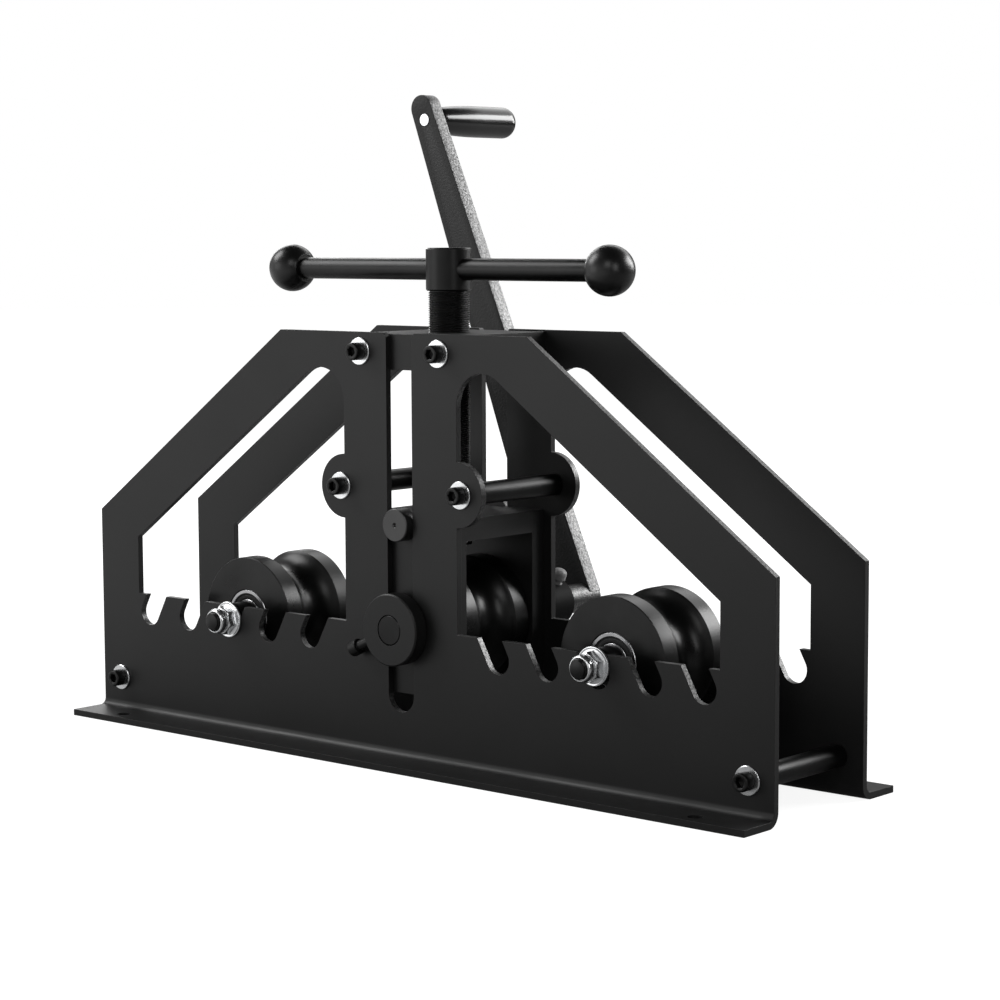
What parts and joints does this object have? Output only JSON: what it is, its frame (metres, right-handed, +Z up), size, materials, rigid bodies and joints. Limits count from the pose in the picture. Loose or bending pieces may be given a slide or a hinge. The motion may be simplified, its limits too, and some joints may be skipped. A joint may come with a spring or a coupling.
{
  "type": "ring roller",
  "caption": "Bench ring roller: windowed side plates with slanted hook slots for the outer dies, and a T-bar jackscrew that presses the crank-driven middle die down onto the tube.",
  "frame": {"origin": "centre of the four foot holes, on the face that the feet stand on", "axes": "+X along the side plates to the right, +Y from the front plate to the crank behind, +Z up"},
  "size_m": [0.822, 0.4273, 0.6163],
  "materials": {
    "black_coat": "satin powder coat with a fine grain",
    "black_oxide": "turned steel blackened with oxide, slight oil sheen",
    "bright_zinc": "bright zinc plate",
    "bright_steel": "ground steel",
    "bronze": "turned bronze",
    "seal_rubber": "moulded seal",
    "black_plastic": "glossy phenolic"
  },
  "bodies": {
    "frame": {"front_plate": "black_coat", "rear_plate": "black_coat", "nut_block": "black_coat", "ear_tie_left": "black_coat", "ear_tie_right": "black_coat", "foot_tie_left": "black_coat", "foot_tie_right": "black_coat", "front_screws": "black_oxide", "rear_screws": "black_oxide", "front_washers": "bright_zinc", "rear_washers": "bright_zinc", "left_axle": "black_oxide", "right_axle": "black_oxide", "left_axle_nuts": "bright_zinc", "right_axle_nuts": "bright_zinc", "left_spacers": "black_oxide", "right_spacers": "black_oxide", "left_inner_rings": "bright_steel", "right_inner_rings": "bright_steel"},
    "left_roller": {"left_die": "black_oxide", "left_outer_rings": "bright_steel", "left_seals": "seal_rubber"},
    "right_roller": {"right_die": "black_oxide", "right_outer_rings": "bright_steel", "right_seals": "seal_rubber"},
    "yoke": {"yoke_bridge": "black_coat", "front_cheek": "black_coat", "rear_cheek": "black_coat", "front_guide": "black_oxide", "rear_guide": "black_oxide", "cheek_screws": "black_oxide", "spindle_outer_rings": "bright_steel", "thrust_washer": "bronze"},
    "screw": {"jackscrew": "black_oxide", "screw_head": "black_oxide", "screw_collar": "black_oxide", "collar_pin": "bright_steel"},
    "bar": {"tommy_bar": "black_oxide", "left_ball": "black_plastic", "right_ball": "black_plastic"},
    "crankshaft": {"spindle": "bright_steel", "centre_die": "black_oxide", "die_key": "bright_steel", "spindle_inner_rings": "bright_steel", "die_spacers": "bright_steel", "front_collar": "black_coat", "rear_collar": "black_coat", "collar_screws": "black_oxide", "crank_hub": "black_coat", "hub_screws": "bright_zinc", "crank_stub": "bright_steel", "crank_arm": "black_coat", "grip_pin": "bright_zinc"},
    "grip": {"crank_grip": "black_plastic"}
  },
  "joints": [
    {"name": "left_die_turn", "type": "hinge", "parent": "frame", "child": "left_roller", "pos_m": [-0.22633, 0, 0.1097], "axis": [0, 1, 0], "continuous": true},
    {"name": "right_die_turn", "type": "hinge", "parent": "frame", "child": "right_roller", "pos_m": [0.2247, 0, 0.1127], "axis": [0, 1, 0], "continuous": true},
    {"name": "yoke_slide", "type": "slide", "parent": "frame", "child": "yoke", "axis": [0, 0, 1], "range_m": [-0.034, 0.123]},
    {"name": "screw_turn", "type": "hinge", "parent": "yoke", "child": "screw", "pos_m": [0, 0, 0.3], "axis": [0, 0, 1], "range_deg": [-6120, 22140]},
    {"name": "bar_slide", "type": "slide", "parent": "screw", "child": "bar", "axis": [1, 0, 0], "range_m": [-0.148, 0.158]},
    {"name": "spindle_turn", "type": "hinge", "parent": "yoke", "child": "crankshaft", "pos_m": [0, 0, 0.123], "axis": [0, 1, 0], "continuous": true},
    {"name": "grip_turn", "type": "hinge", "parent": "crankshaft", "child": "grip", "pos_m": [-0.20212, 0.2, 0.59233], "axis": [0, 1, 0], "continuous": true}
  ],
  "couplings": [
    {"joint": "yoke_slide", "follows": "screw_turn", "m_per_rad": 0.00031831}
  ]
}
